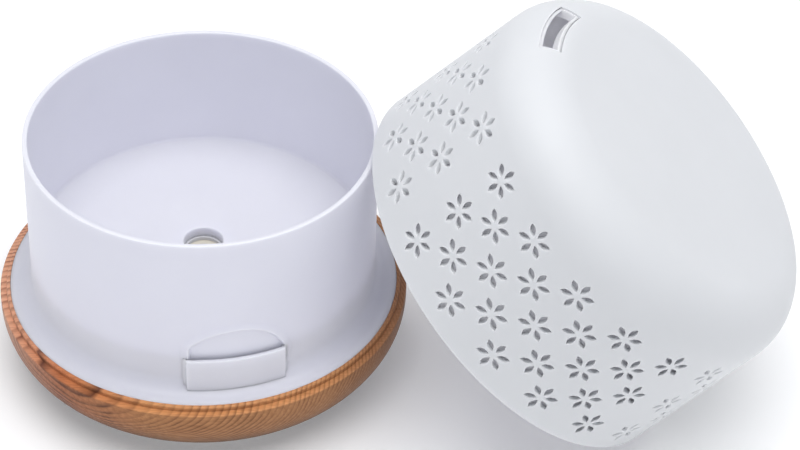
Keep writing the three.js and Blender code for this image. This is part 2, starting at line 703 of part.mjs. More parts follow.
function outerCover() {
  const outside = coverSide(0, 0, 7);
  const inside = coverSide(COVER_WALL, 2.6, 6);
  const rimInside = inside[0][0] + 0.4;
  const shell = turned([...outside, ...inside.reverse(), [rimInside, 2.6], [rimInside, 0]], ROUND_STEPS);
  return carve(shell, { cuts: [mistSector(0, 70, 90)] });
}

function innerHood() {
  const outside = coverSide(HOOD_INSET, 1, 6);
  const inside = coverSide(HOOD_INSET + HOOD_WALL, 1, 5);
  const shell = turned([...outside, ...inside.reverse()], ROUND_STEPS);
  const below = turned([...coverSide(0.8, 1, 6), [0, 1]], ROUND_STEPS);
  const chimney = meet(mistSector(-GAP, 74, 90), below);
  return carve(shell, {
    adds: [chimney],
    cuts: [mistSector(-GAP - CHIMNEY_WALL, 70, 90)],
  });
}

add('outer_cover', 'cover', outerCover(), coverGroup);
add('inner_hood', 'hood', innerHood(), coverGroup);

export default diffuser;
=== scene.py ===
"""Looks of the essential oil diffuser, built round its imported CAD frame.

Sizes are in millimetres until a mesh is made.
"""
import math

import bmesh
import bpy
import numpy as np
from mathutils import Matrix, Vector
from mathutils.geometry import delaunay_2d_cdt


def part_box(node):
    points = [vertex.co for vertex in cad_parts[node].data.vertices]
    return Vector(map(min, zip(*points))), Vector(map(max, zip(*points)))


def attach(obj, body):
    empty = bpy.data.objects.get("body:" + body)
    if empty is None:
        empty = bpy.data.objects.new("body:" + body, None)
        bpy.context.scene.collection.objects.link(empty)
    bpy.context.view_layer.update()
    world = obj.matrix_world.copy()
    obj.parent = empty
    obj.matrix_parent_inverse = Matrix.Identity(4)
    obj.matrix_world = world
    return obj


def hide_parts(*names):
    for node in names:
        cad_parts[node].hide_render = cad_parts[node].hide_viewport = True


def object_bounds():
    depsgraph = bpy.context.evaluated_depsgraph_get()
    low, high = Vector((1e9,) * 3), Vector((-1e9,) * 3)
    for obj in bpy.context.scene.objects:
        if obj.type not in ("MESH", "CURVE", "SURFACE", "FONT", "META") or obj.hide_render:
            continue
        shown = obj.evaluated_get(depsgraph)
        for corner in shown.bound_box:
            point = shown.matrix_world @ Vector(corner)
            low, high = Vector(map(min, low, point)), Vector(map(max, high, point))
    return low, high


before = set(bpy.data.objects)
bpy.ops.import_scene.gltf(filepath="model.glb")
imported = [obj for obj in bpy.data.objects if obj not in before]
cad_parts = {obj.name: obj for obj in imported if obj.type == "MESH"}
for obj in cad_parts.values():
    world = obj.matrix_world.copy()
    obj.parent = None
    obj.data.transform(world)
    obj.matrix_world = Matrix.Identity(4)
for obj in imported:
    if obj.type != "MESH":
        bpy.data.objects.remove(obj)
cad_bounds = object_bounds()

MM = 0.001


def box_mm(node):
    low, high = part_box(node)
    return low / MM, high / MM


# ---- sizes, from the frame where it has them

FLOOR = cad_bounds[0].z / MM
BASE_RADIUS = box_mm("base_ring")[1].x
TANK_RIM = box_mm("tank")[1].z
DISC_LOW, DISC_HIGH = box_mm("transducer_disc")

# Base ring
BULGE_HEIGHT = 27.8
BULGE_REACH = 34
RING_WALL = 2.6
RING_FOOT = 58.5
HOLE_SPAN = (60, 90)
SEAT_HEIGHT = 31.5
LIP_OUTER = 80.9
LIP_INNER = 79.4
LEDGE_INNER = 78.3
LEDGE_TOP = 27.6
ROUND_STEPS = 240

# Tank, tray and air outlet
TRAY_TOP = TANK_RIM - 72.9
TANK_RADIUS = 70.4
TANK_WALL = 2
TANK_FLOOR = TRAY_TOP + 18
FLOOR_THICKNESS = 2.2
RIM_FILLET = 0.5
TRAY_RADIUS = 79.1
TRAY_EDGE = 79.3
TRAY_THICKNESS = 2.2
SUMP_RADIUS = 8
SUMP_LEDGE = 47.4
SUMP_UNDERSIDE = 45.2
SEAL_POCKET = 10.6
BOSS_EDGE = 13
FOOT_FILLET = 7
OUTLET_DIRECTION = math.radians(-90 + 14.8)
OUTLET_HALF_ANGLE = math.radians(16.9)
OUTLET_RADIUS = 72.9
OUTLET_TOP = TRAY_TOP + 16.6
OUTLET_CORNER = 1.6
SLOT_INNER = 70.4
SLOT_OUTER = 71.05
SLOT_END_WALL = 1.9
MOON_DEPTH = 0.3
MOON_BORDER = 3.4
MOON_RISE = 0.8
MOON_LINE_PITCH = 0.3
MOON_REACH = math.radians(21)
MOON_CURVE = ((-18.3, 5), (-13, 13.5), (13.7, 20.5), (20.1, -1.5))
MOON_FOOT = -6

# Cover and hood, in the cover's own frame: z up from its rim, the mist slot on +x
COVER_RADIUS = 83
COVER_HEIGHT = 87
COVER_DRAFT = 0.027
COVER_ROUNDING = 22
COVER_WALL = 2.2
RIM_STEP = 2.6
RIM_REBATE = 0.4
HOOD_INSET = COVER_WALL + 0.7
HOOD_WALL = 1.2
HOOD_BOTTOM = 1
HOOD_LEVELS = (43, 22, HOOD_BOTTOM)
SHOULDER = COVER_HEIGHT - COVER_ROUNDING
ROUNDING_CENTRE = COVER_RADIUS - COVER_DRAFT * SHOULDER - COVER_ROUNDING
COVER_AZIMUTH = math.radians(-5.5)
COVER_TILT = math.radians(42.4)
COVER_SPIN = math.radians(166.8)
COVER_REACH = 130.3

# Flowers of the cover: four moulded fields, each pierced straight outwards
FIELD_TURNS = [math.radians(turn) for turn in (0, 90, 180, 270)]
FIELD_EDGE = math.radians(45)
COLUMN_PITCH = math.radians(9.1)
COLUMN_REACH = 4
ROW_COUNT = 5
FIRST_ROW = 12.6
ROW_PITCH = 10.9
PETAL_COUNT = 6
PETAL_START = 1.7
PETAL_END = 6.7
PETAL_WIDTH = 2.35
PETAL_WIDEST = 0.56
PETAL_STEPS = (0.05, 0.18, 0.36, 0.56, 0.76, 0.93)
PETAL_EDGE = 0.28
FLOWER_CLEAR = 7.6
PULL_REACH = math.radians(41.4)
GRID_PITCH = 3.2
DOME_PITCH = math.radians(1.8)
DOME_STEPS = (10, 1, 4, 1, 4)
FLAT_STEPS = 8

# Mist slot
MIST_INNER = 65.4
MIST_OUTER = 73.4
MIST_HALF_ANGLE = math.radians(14.5)
MIST_EDGE = 0.35
CHIMNEY_GAP = 0.3
CHIMNEY_WALL = 1.1
CHIMNEY_DROP = 0.8

# Fasteners, keys and socket
BOSS_RADIUS = 52
BOSS_TURNS = [math.radians(turn) for turn in (40, 140, 220, 320)]
FOOT_RADIUS = 54
FOOT_TURNS = [math.radians(turn) for turn in (0, 90, 180, 270)]
BUTTON_X = 17
BUTTON_Z = 22
BUTTON_RADIUS = 4.5
BUTTON_FACE = 81.9
BUTTON_BACK = 72.6
FLANGE_RADIUS = 5.2
FLANGE_BACK = 73.6
FLANGE_FRONT = 74.8
JACK_TURN = math.radians(160)
JACK_Z = 19
JACK_HOLE = 5.5
JACK_BORE = 4.2
JACK_PANEL_RADIUS = 7.5
JACK_PANEL_OUT = 77
JACK_PANEL_IN = 73.5
FAN_REACH = 28
FAN_HOLE_REACH = 16
FAN_OPENING = 17
INTAKE_PITCH = 4.4
INTAKE_END = 1.2
BOARD_CENTRE = (-4, 24)
BOARD_HOLE_REACH = (28, 13)

# ---- camera, lights and floor

CAMERA_PLACE = (0.0800, -0.8604, 0.7682)
CAMERA_PITCH = math.radians(39.33)
CAMERA_ROLL = math.radians(1.98)
CAMERA_LENS = 123.39
LIGHT_PLACE = (0.13, -0.16, 1.5)
LIGHT_TARGET = (0.06, 0, 0.05)
LIGHT_SIZE = 1.6
LIGHT_POWER = 18.0
SKY_COLOUR = (0.93, 0.95, 1.0)
SKY_STRENGTH = 0.60


def make_camera():
    data = bpy.data.cameras.new("camera")
    data.lens = CAMERA_LENS
    data.sensor_width = 36
    data.clip_end = 20
    camera = bpy.data.objects.new("camera", data)
    bpy.context.scene.collection.objects.link(camera)
    turn = Matrix.Rotation(math.pi / 2 - CAMERA_PITCH, 4, "X") @ Matrix.Rotation(CAMERA_ROLL, 4, "Z")
    camera.matrix_world = Matrix.Translation(CAMERA_PLACE) @ turn
    bpy.context.scene.camera = camera


def make_light():
    world = bpy.data.worlds.new("studio")
    world.use_nodes = True
    background = world.node_tree.nodes["Background"]
    background.inputs["Color"].default_value = (*SKY_COLOUR, 1)
    background.inputs["Strength"].default_value = SKY_STRENGTH
    data = bpy.data.lights.new("top", "AREA")
    data.shape = "DISK"
    data.size = LIGHT_SIZE
    data.energy = LIGHT_POWER
    light = bpy.data.objects.new("top", data)
    light.location = LIGHT_PLACE
    light.rotation_euler = (Vector(LIGHT_TARGET) - Vector(LIGHT_PLACE)).to_track_quat("-Z", "Y").to_euler()
    scene = bpy.context.scene
    scene.collection.objects.link(light)
    scene.world = world
    scene.view_settings.view_transform = "Standard"
    scene.view_settings.look = "None"


# ---- meshes

AUTO, OUTER, INNER, WALL = range(4)  # how a face is shaded
PLAIN, RAISED, OPEN = range(3)  # what a cell of a dome is


def arc(centre, reach, rise, start, end, steps):
    """Points on an ellipse, as (radius, height) pairs. Angles are in degrees."""
    turns = np.radians(np.linspace(start, end, steps + 1))
    return [(centre[0] + reach * math.cos(a), centre[1] + rise * math.sin(a)) for a in turns]


def rounded(corners):
    """An outline of (x, y, fillet radius) corners, closed on itself, with its corners rounded."""
    steps = 4
    points = []
    count = len(corners)
    for i, (x, y, fillet) in enumerate(corners):
        here = Vector((x, y))
        if not fillet:
            points.append((x, y))
            continue
        before = (Vector(corners[i - 1][:2]) - here).normalized()
        after = (Vector(corners[(i + 1) % count][:2]) - here).normalized()
        half = before.angle(after) / 2
        centre = here + (before + after).normalized() * (fillet / math.sin(half))
        start = here + before * (fillet / math.tan(half)) - centre
        end = here + after * (fillet / math.tan(half)) - centre
        turn = start.angle_signed(end)
        for k in range(steps + 1):
            points.append(tuple(centre + Matrix.Rotation(-turn * k / steps, 2) @ start))
    return points


def spread(marks, pitch):
    """Values from the first mark to the last, through every mark, at most `pitch` apart."""
    values = []
    for low, high in zip(marks, marks[1:]):
        steps = max(1, math.ceil((high - low) / pitch - 1e-6))
        values += [low + (high - low) * i / steps for i in range(steps)]
    return values + [marks[-1]]


def full_circle(steps):
    return [2 * math.pi * i / steps for i in range(steps)]


class Shape:
    """A mesh being built, in millimetres."""

    def __init__(self):
        self.mesh = bmesh.new()
        self.kind = self.mesh.faces.layers.int.new("kind")
        self.wall = self.mesh.verts.layers.float_vector.new("wall")

    def point(self, place, wall=None):
        vert = self.mesh.verts.new(place)
        if wall is not None:
            vert[self.wall] = wall
        return vert

    def face(self, corners, kind=AUTO):
        corners = [c for i, c in enumerate(corners) if c is not corners[i - 1]]
        if len(corners) < 3:
            return
        self.mesh.faces.new(corners)[self.kind] = kind

    def ring(self, points):
        return [self.point(p) for p in points]

    def circle(self, radius, height, angles):
        return self.ring((*on_circle(radius, a), height) for a in angles)

    def bridge(self, low, high, kind=AUTO):
        for k in range(len(low)):
            after = (k + 1) % len(low)
            self.face([low[k], low[after], high[after], high[k]], kind)

    def turned(self, profile, angles=None, closed=True, matrix=None):
        """Turns (radius, height) points about the axis. A point with no radius is one vertex."""
        angles = angles or full_circle(ROUND_STEPS)
        matrix = matrix or Matrix.Identity(4)
        rings = []
        for radius, height in profile:
            if radius < 1e-6:
                rings.append([self.point(matrix @ Vector((0, 0, height)))] * len(angles))
                continue
            rings.append(self.ring(matrix @ Vector((*on_circle(radius, a), height)) for a in angles))
        for low, high in zip(rings, rings[1:]):
            self.bridge(low, high)
        if closed:
            self.bridge(rings[-1], rings[0])

    def lofted(self, rings):
        """Joins rings of points, with a cap at each end."""
        rings = [self.ring(points) for points in rings]
        for low, high in zip(rings, rings[1:]):
            self.bridge(low, high)
        self.face(rings[0][::-1])
        self.face(rings[-1])

    def block(self, low, high, matrix=None):
        matrix = matrix or Matrix.Identity(4)
        corners = [(low[0], low[1]), (high[0], low[1]), (high[0], high[1]), (low[0], high[1])]
        self.lofted([[matrix @ Vector((x, y, z)) for x, y in corners] for z in (low[2], high[2])])


def to_mesh(shape, name, matrix=None, sharp=32, normal_of=None):
    """The finished mesh, in metres. normal_of(point, kind) gives the normals of a shape's skins."""
    bmesh.ops.remove_doubles(shape.mesh, verts=shape.mesh.verts, dist=1e-4)
    bmesh.ops.recalc_face_normals(shape.mesh, faces=shape.mesh.faces)
    mesh = bpy.data.meshes.new(name)
    shape.mesh.to_mesh(mesh)
    shape.mesh.free()
    mesh.shade_smooth()
    mesh.set_sharp_from_angle(angle=math.radians(sharp))
    if normal_of:
        kinds = [k.value for k in mesh.attributes["kind"].data]
        walls = [Vector(w.vector) for w in mesh.attributes["wall"].data]
        normals = [(0, 0, 0)] * len(mesh.loops)
        for polygon in mesh.polygons:
            kind = kinds[polygon.index]
            if kind == AUTO:
                continue
            for i in polygon.loop_indices:
                vertex = mesh.loops[i].vertex_index
                on_wall = kind == WALL and walls[vertex].length > 0.5
                normals[i] = walls[vertex] if on_wall else normal_of(mesh.vertices[vertex].co, kind)
        mesh.normals_split_custom_set(normals)
    for attribute in ("kind", "wall"):
        mesh.attributes.remove(mesh.attributes[attribute])
    mesh.transform(Matrix.Scale(MM, 4) @ (matrix or Matrix.Identity(4)))
    return mesh


def piece(name, mesh, body, material, replaced=()):
    """Puts a mesh in the scene as a piece of the object."""
    obj = bpy.data.objects.new(name, mesh)
    bpy.context.scene.collection.objects.link(obj)
    obj.data.materials.clear()
    obj.data.materials.append(material)
    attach(obj, body)
    if replaced:
        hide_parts(*replaced)
    return obj


def cut_away(mesh, cutter, sharp=32):
    """The mesh less another mesh. Both are closed."""
    scene = bpy.context.scene.collection
    whole = bpy.data.objects.new("whole", mesh)
    tool = bpy.data.objects.new("tool", cutter)
    scene.objects.link(whole)
    scene.objects.link(tool)
    modifier = whole.modifiers.new("cut", "BOOLEAN")
    modifier.operation = "DIFFERENCE"
    modifier.solver = "EXACT"
    modifier.object = tool
    bpy.context.view_layer.update()
    result = bpy.data.meshes.new_from_object(whole.evaluated_get(bpy.context.evaluated_depsgraph_get()))
    bpy.data.objects.remove(whole)
    bpy.data.objects.remove(tool)
    result.shade_smooth()
    result.set_sharp_from_angle(angle=math.radians(sharp))
    return result


def place(x=0.0, y=0.0, z=0.0):
    return Matrix.Translation((x, y, z))


def outwards(angle, height):
    """From a piece made along +Z to one that points outwards along the direction `angle`."""
    return place(z=height) @ Matrix.Rotation(angle, 4, "Z") @ Matrix.Rotation(math.pi / 2, 4, "Y")


def backwards(x, height):
    """From a piece made along +Z to one that points along +Y."""
    return place(x=x, z=height) @ Matrix.Rotation(-math.pi / 2, 4, "X")


def on_circle(radius, angle):
    return radius * math.cos(angle), radius * math.sin(angle)


def cylinder(shape, radius, bottom, top, matrix=None, steps=40, fillet=0.0):
    corners = [(0, bottom), (radius - fillet, bottom)]
    if fillet:
        corners += arc((radius - fillet, bottom + fillet), fillet, fillet, -90, 0, 4)[1:]
        corners += arc((radius - fillet, top - fillet), fillet, fillet, 0, 90, 4)
    else:
        corners.append((radius, top))
    shape.turned(corners + [(0, top)], full_circle(steps), closed=False, matrix=matrix)


# ---- materials

# The wood's growth layers lie round a knot, drawn out level. Each layer takes the same area round it.
KNOT = (-52 * MM, -65 * MM, 34 * MM)
GRAIN_STRETCH = (0.34, 0.34, 1.0)
GRAIN_WARPS = ((18.0, 0.012), (75.0, 0.0012))  # (noise scale, reach in metres)
LAYER_AREA = 46 * MM * MM
# Ends of the colour ramp across the ring: painted shade darkens the right end, the grain is redder round
# the knot towards the left, and the left end is paler.
SHADE_AND_STAIN_RIGHT, SHADE_AND_STAIN_LEFT = 85 * MM, -82 * MM
# Painted light by height over the ring, in millimetres: painted shade darkening it towards the bottom and
# on the lip's wall, painted highlights on the seat's ridge and the lip's top.
PAINTED_LIGHT_TOP = 36
PAINTED_LIGHT_BY_HEIGHT = (  # (height, brightness)
    (5, 0.1), (12, 0.24), (20, 0.48), (27, 0.54), (30.9, 0.56), (31.5, 0.88), (31.6, 0.88),
    (31.75, 0.68), (33.0, 0.68), (33.4, 0.86))


class Graph:
    """A material being built from nodes. Textures are laid out in metres, in the object's own frame."""

    def __init__(self, name, colour, roughness, **settings):
        self.material = bpy.data.materials.new(name)
        self.material.use_nodes = True
        self.tree = self.material.node_tree
        self.shader = self.tree.nodes["Principled BSDF"]
        self.place = self.node("TexCoord").outputs["Object"]
        self.shader.inputs["Base Color"].default_value = (*colour, 1)
        self.shader.inputs["Roughness"].default_value = roughness
        for name_of_socket, value in settings.items():
            self.shader.inputs[name_of_socket.replace("_", " ")].default_value = value

    def node(self, kind, inputs=None, **settings):
        node = self.tree.nodes.new("ShaderNode" + kind)
        for key, value in settings.items():
            setattr(node, key, value)
        for key, value in (inputs or {}).items():
            self.feed(node.inputs[key], value)
        return node

    def feed(self, socket, value):
        if isinstance(value, bpy.types.NodeSocket):
            self.tree.links.new(value, socket)
        else:
            socket.default_value = value

    def noise(self, scale, detail=2.0, roughness=0.5, vector=None):
        inputs = {"Vector": vector or self.place, "Scale": scale, "Detail": detail, "Roughness": roughness}
        return self.node("TexNoise", inputs).outputs["Fac"]

    def ramp(self, value, stops):
        """A colour for each value, from (position, colour) stops."""
        node = self.node("ValToRGB", {"Fac": value})
        elements = node.color_ramp.elements
        for _ in stops[2:]:
            elements.new(0.5)
        for element, (position, colour) in zip(elements, stops):
            element.position = position
            element.color = (*colour, 1)
        return node.outputs["Color"]

    def grey_ramp(self, value, stops):
        return self.ramp(value, [(position, (tone,) * 3) for position, tone in stops])

    def map(self, value, low, high, start=0.0, end=1.0):
        return self.node("MapRange", {
            "Value": value, "From Min": low, "From Max": high, "To Min": start, "To Max": end,
        }).outputs["Result"]

    def maths(self, operation, first, second=0.0):
        return self.node("Math", {0: first, 1: second}, operation=operation).outputs["Value"]

    def vectors(self, operation, first, second, output="Vector"):
        return self.node("VectorMath", {0: first, 1: second}, operation=operation).outputs[output]

    def mix(self, factor, first, second, blend="MIX"):
        node = self.node("Mix", {0: factor, 6: first, 7: second}, data_type="RGBA", blend_type=blend)
        return node.outputs[2]

    def bump(self, height, distance, strength=1.0, under=None):
        inputs = {"Height": height, "Distance": distance, "Strength": strength}
        if under:
            inputs["Normal"] = under
        return self.node("Bump", inputs).outputs["Normal"]

    def use(self, colour=None, roughness=None, normal=None):
        for socket, value in (("Base Color", colour), ("Roughness", roughness), ("Normal", normal)):
            if value is not None:
                self.feed(self.shader.inputs[socket], value)
        return self.material


def shade(colour, factor):
    return tuple(c * factor for c in colour)


def moulded(name, colour, roughness, grain=0.00035, depth=0.000012, variation=0.02, **settings):
    """Moulded plastic or rubber: an eroded mould texture, faint flow marks and slightly uneven gloss."""
    graph = Graph(name, colour, roughness, **settings)
    flow = graph.noise(22, 3)
    tone = graph.ramp(flow, [(0.3, shade(colour, 1 - variation)), (0.7, shade(colour, 1 + variation / 2))])
    texture = graph.noise(1 / grain, 3, 0.6)
    gloss = graph.map(texture, 0.3, 0.7, roughness - 0.05, roughness + 0.07)
    waves = graph.bump(graph.noise(60, 2), 0.00003, 0.6)
    return graph.use(tone, gloss, graph.bump(texture, depth, 0.7, waves))


def metal(name, colour, roughness, scratch=900):
    """Drawn or turned metal with fine tool marks."""
    graph = Graph(name, colour, roughness, Metallic=1.0)
    stretched = graph.node("Mapping", {"Vector": graph.place, "Scale": (1, 1, 14)}).outputs["Vector"]
    marks = graph.noise(scratch, 4, 0.6, stretched)
    tone = graph.ramp(marks, [(0.25, shade(colour, 0.82)), (0.75, colour)])
    gloss = graph.map(marks, 0.3, 0.7, roughness - 0.06, roughness + 0.1)
    return graph.use(tone, gloss, graph.bump(marks, 0.00002, 0.5))


def circuit(name):
    """Green lacquered board with darker copper paths under the lacquer."""
    green, path = (0.012, 0.11, 0.045), (0.03, 0.2, 0.08)
    graph = Graph(name, green, 0.35)
    cells = graph.node("TexBrick", {
        "Vector": graph.place, "Scale": 260, "Mortar Size": 0.035, "Color1": (*green, 1),
        "Color2": (*shade(green, 0.85), 1), "Mortar": (*path, 1),
    })
    raised = graph.map(cells.outputs["Fac"], 0, 1)
    return graph.use(cells.outputs["Color"], graph.map(graph.noise(700), 0.3, 0.7, 0.3, 0.45),
                     graph.bump(raised, 0.00003, 0.6))


def wound_copper(name):
    """Enamelled copper wire wound in level turns, with painted shade in the grooves between them."""
    copper = (0.42, 0.15, 0.045)
    graph = Graph(name, copper, 0.3, Metallic=1.0)
    turns = graph.node("TexWave", {"Vector": graph.place, "Scale": 500, "Distortion": 0.3},
                       wave_type="BANDS", bands_direction="Z").outputs["Fac"]
    # Painted shade: the bands between the turns are darkened where the grooves lie in shade.
    tone = graph.ramp(turns, [(0.1, shade(copper, 0.35)), (0.6, copper)])
    return graph.use(tone, graph.map(turns, 0, 1, 0.45, 0.25), graph.bump(turns, 0.0001, 0.8))


def ceramic(name):
    """Fired ceramic with a silvered spot in its middle."""
    body, silver = (0.62, 0.58, 0.5), (0.5, 0.5, 0.5)
    graph = Graph(name, body, 0.35)
    axis = graph.vectors("MULTIPLY", graph.place, (1, 1, 0))
    radius = graph.node("VectorMath", {0: axis}, operation="LENGTH").outputs["Value"]
    tone = graph.ramp(graph.map(radius, 0.0045, 0.0052), [(0, silver), (1, body)])
    grain = graph.noise(1500, 3)
    return graph.use(tone, graph.map(grain, 0.3, 0.7, 0.28, 0.42), graph.bump(grain, 0.00001, 0.5))


def wood(name):
    """Softwood whose growth layers lie round a knot, redder there. Painted shade darkens it towards the
    bottom, on the lip's wall and on its right side; painted highlights brighten the seat's ridge and the
    lip's top.
    """
    graph = Graph(name, (0.5, 0.26, 0.13), 0.5)
    graph.shader.inputs["Specular IOR Level"].default_value = 0.3
    warped = graph.place
    for scale, reach in GRAIN_WARPS:
        sway = graph.node("TexNoise", {"Vector": warped, "Scale": scale, "Detail": 1.0}).outputs["Color"]
        swayed = graph.vectors("SUBTRACT", sway, (0.5, 0.5, 0.5))
        warped = graph.vectors("ADD", warped, graph.vectors("MULTIPLY", swayed, (reach,) * 3))
    drawn = graph.vectors("MULTIPLY", graph.vectors("SUBTRACT", warped, KNOT), GRAIN_STRETCH)
    depth = graph.vectors("DOT_PRODUCT", drawn, drawn, "Value")
    layers = graph.maths("FRACT", graph.maths("MULTIPLY", depth, 1 / LAYER_AREA))
    late = graph.grey_ramp(layers, [(0.0, 0.0), (0.35, 0.1), (0.8, 1.0), (0.97, 0.0)])
    faint = graph.map(graph.noise(70, 2, 0.5, warped), 0.35, 0.6, 0.35, 1.0)
    fine = graph.node("Mapping", {"Vector": warped, "Scale": (70, 1500, 900)}).outputs["Vector"]
    fibres = graph.noise(1.0, 3, 0.6, fine)
    position = graph.node("SeparateXYZ", {"Vector": graph.place}).outputs
    # Across the ring from right to left: painted shade darkens the right end, the knot's grain is redder
    # and darker-lined, and the left end is paler.
    stain_and_shade = graph.map(position["X"], SHADE_AND_STAIN_RIGHT, SHADE_AND_STAIN_LEFT)
    tan = graph.ramp(stain_and_shade, [
        (0.0, (0.52, 0.245, 0.115)), (0.2, (0.78, 0.365, 0.145)), (0.6, (0.82, 0.37, 0.14)),
        (0.82, (0.74, 0.25, 0.095)), (1.0, (0.98, 0.52, 0.33))])
    dark = graph.ramp(stain_and_shade, [
        (0.0, (0.19, 0.07, 0.03)), (0.2, (0.26, 0.088, 0.03)), (0.6, (0.20, 0.062, 0.022)),
        (0.82, (0.06, 0.011, 0.005)), (1.0, (0.36, 0.13, 0.075))])
    marked = graph.maths("MULTIPLY", late, faint)
    strength = graph.maths("MULTIPLY", marked, graph.map(stain_and_shade, 0.4, 0.8, 0.75, 1.0))
    layered = graph.mix(strength, tan, dark)
    streaked = graph.mix(graph.map(fibres, 0.35, 0.75, 0.0, 0.45), layered, dark)
    # Painted light by height: painted shade low down and on the lip's wall, painted highlights on the
    # seat's ridge and the lip's top.
    level = graph.map(position["Z"], 0.0, PAINTED_LIGHT_TOP * MM)
    steps = graph.grey_ramp(level, [(height / PAINTED_LIGHT_TOP, tone) for height, tone in PAINTED_LIGHT_BY_HEIGHT])
    with_painted_light = graph.mix(1.0, streaked, steps, "MULTIPLY")
    gloss = graph.map(fibres, 0.3, 0.7, 0.42, 0.58)
    return graph.use(with_painted_light, gloss, graph.bump(fibres, 0.00003, 0.5, graph.bump(late, 0.00002, 0.4)))


def floor_material():
    pale = (0.88, 0.88, 0.88)
    graph = Graph("studio_floor", pale, 0.8)
    tone = graph.ramp(graph.noise(3, 2), [(0.3, shade(pale, 0.99)), (0.7, pale)])
    graph.shader.inputs["Emission Color"].default_value = (1, 1, 1, 1)
    graph.shader.inputs["Emission Strength"].default_value = 0.16
    return graph.use(tone)


TRANSLUCENT = {"Subsurface_Weight": 1.0, "Subsurface_Radius": (1, 1, 1)}
COVER_WHITE = moulded("cover_plastic", (0.68, 0.69, 0.705), 0.5, Subsurface_Scale=0.002, **TRANSLUCENT)
HOOD_WHITE = moulded("hood_plastic", (0.90, 0.90, 0.97), 0.4, Subsurface_Scale=0.004, **TRANSLUCENT)
TANK_WHITE = moulded("tank_plastic", (0.70, 0.70, 0.765), 0.4, grain=0.0005, depth=0.000008,
                     Subsurface_Scale=0.004, **TRANSLUCENT)
UNDERSIDE_WHITE = moulded("underside_plastic", (0.76, 0.76, 0.77), 0.55)
BUTTON_WHITE = moulded("button_plastic", (0.77, 0.77, 0.78), 0.35)
RUBBER = moulded("foot_rubber", (0.045, 0.045, 0.048), 0.85, grain=0.0006, depth=0.00003, variation=0.12)
SEAL = moulded("seal_silicone", (0.6, 0.6, 0.62), 0.6, grain=0.0006, depth=0.00002, variation=0.05)
BLACK = moulded("black_moulding", (0.03, 0.031, 0.034), 0.45, variation=0.1)
LENS = moulded("lamp_lens", (0.85, 0.83, 0.72), 0.2, variation=0.05)
LEAD = moulded("lead_sleeve", (0.35, 0.045, 0.035), 0.5, variation=0.12)
STEEL = metal("plated_steel", (0.6, 0.6, 0.62), 0.3)
ALUMINIUM = metal("aluminium_fins", (0.68, 0.69, 0.7), 0.38, 500)
BOARD = circuit("board_lacquer")
COPPER = wound_copper("copper_winding")
CERAMIC = ceramic("disc_ceramic")
WOOD = wood("wood_grain")

MATERIAL_OF_SLOT = {
    "wood_look": WOOD, "tank_white": TANK_WHITE, "cover_white": COVER_WHITE, "hood_white": HOOD_WHITE,
    "underside_white": UNDERSIDE_WHITE, "button_white": BUTTON_WHITE, "rubber": RUBBER, "seal_rubber": SEAL,
    "steel": STEEL, "ceramic": CERAMIC, "black_plastic": BLACK, "circuit_board": BOARD, "copper": COPPER,
    "aluminium": ALUMINIUM, "led_lens": LENS, "lead_red": LEAD,
}

# ---- base ring


def make_base_ring():
    centre = (BASE_RADIUS - BULGE_REACH, BULGE_HEIGHT)
    shape = Shape()
    outside = arc(centre, BULGE_REACH, BULGE_HEIGHT, -66, 0, 36)
    ridge = arc((BASE_RADIUS - 0.45, SEAT_HEIGHT - 0.45), 0.45, 0.45, 0, 90, 5)
    lip = arc((LIP_OUTER - 0.7, TRAY_TOP - 0.7), 0.7, 0.7, 0, 90, 5)
    inside = arc(centre, BULGE_REACH - RING_WALL, BULGE_HEIGHT - RING_WALL, -5, -67, 24)
    shape.turned([
        *outside, *ridge, (LIP_OUTER + 0.2, SEAT_HEIGHT), (LIP_OUTER, SEAT_HEIGHT + 0.2), *lip,
        (LIP_INNER + 0.1, TRAY_TOP), (LIP_INNER, TRAY_TOP - 0.1), (LIP_INNER, LEDGE_TOP),
        (LEDGE_INNER, LEDGE_TOP), (LEDGE_INNER, LEDGE_TOP - 2), *inside,
        (RING_FOOT, 4.6), (RING_FOOT, outside[0][1]),
    ])
    ring = to_mesh(shape, "wood_ring")
    cutters = Shape()
    for side in (-1, 1):
        cylinder(cutters, BUTTON_RADIUS + 0.4, *HOLE_SPAN, backwards(side * BUTTON_X, BUTTON_Z), 64)
    cylinder(cutters, JACK_HOLE, *HOLE_SPAN, outwards(JACK_TURN, JACK_Z), 64)
    ring = cut_away(ring, to_mesh(cutters, "ring_holes"))
    piece("wood_ring", ring, "base", WOOD, ["base_ring"])
    panel = Shape()
    step = (JACK_HOLE - 0.04, JACK_PANEL_OUT - 0.6)
    panel.turned(rounded([
        (JACK_BORE, JACK_PANEL_IN, 0), (JACK_PANEL_RADIUS, JACK_PANEL_IN, 0),
        (JACK_PANEL_RADIUS, step[1], 0), (*step, 0), (step[0], JACK_PANEL_OUT, 0),
        (JACK_BORE, JACK_PANEL_OUT, 0.3),
    ]), full_circle(64), matrix=outwards(JACK_TURN, JACK_Z))
    piece("socket_panel", to_mesh(panel, "socket_panel"), "base", WOOD)


# ---- tank, tray and outlet


def moon_outline():
    """The half-moon over the outlet slot, seen from outside, about the middle of the slot's top edge."""
    start, first, second, end = (Vector(p) for p in MOON_CURVE)
    curve = []
    for i in range(33):
        t = i / 32
        s = 1 - t
        curve.append(start * s ** 3 + first * (3 * s * s * t) + second * (3 * s * t * t) + end * t ** 3)
    return [Vector((start.x, MOON_FOOT)), *curve, Vector((end.x, MOON_FOOT))]


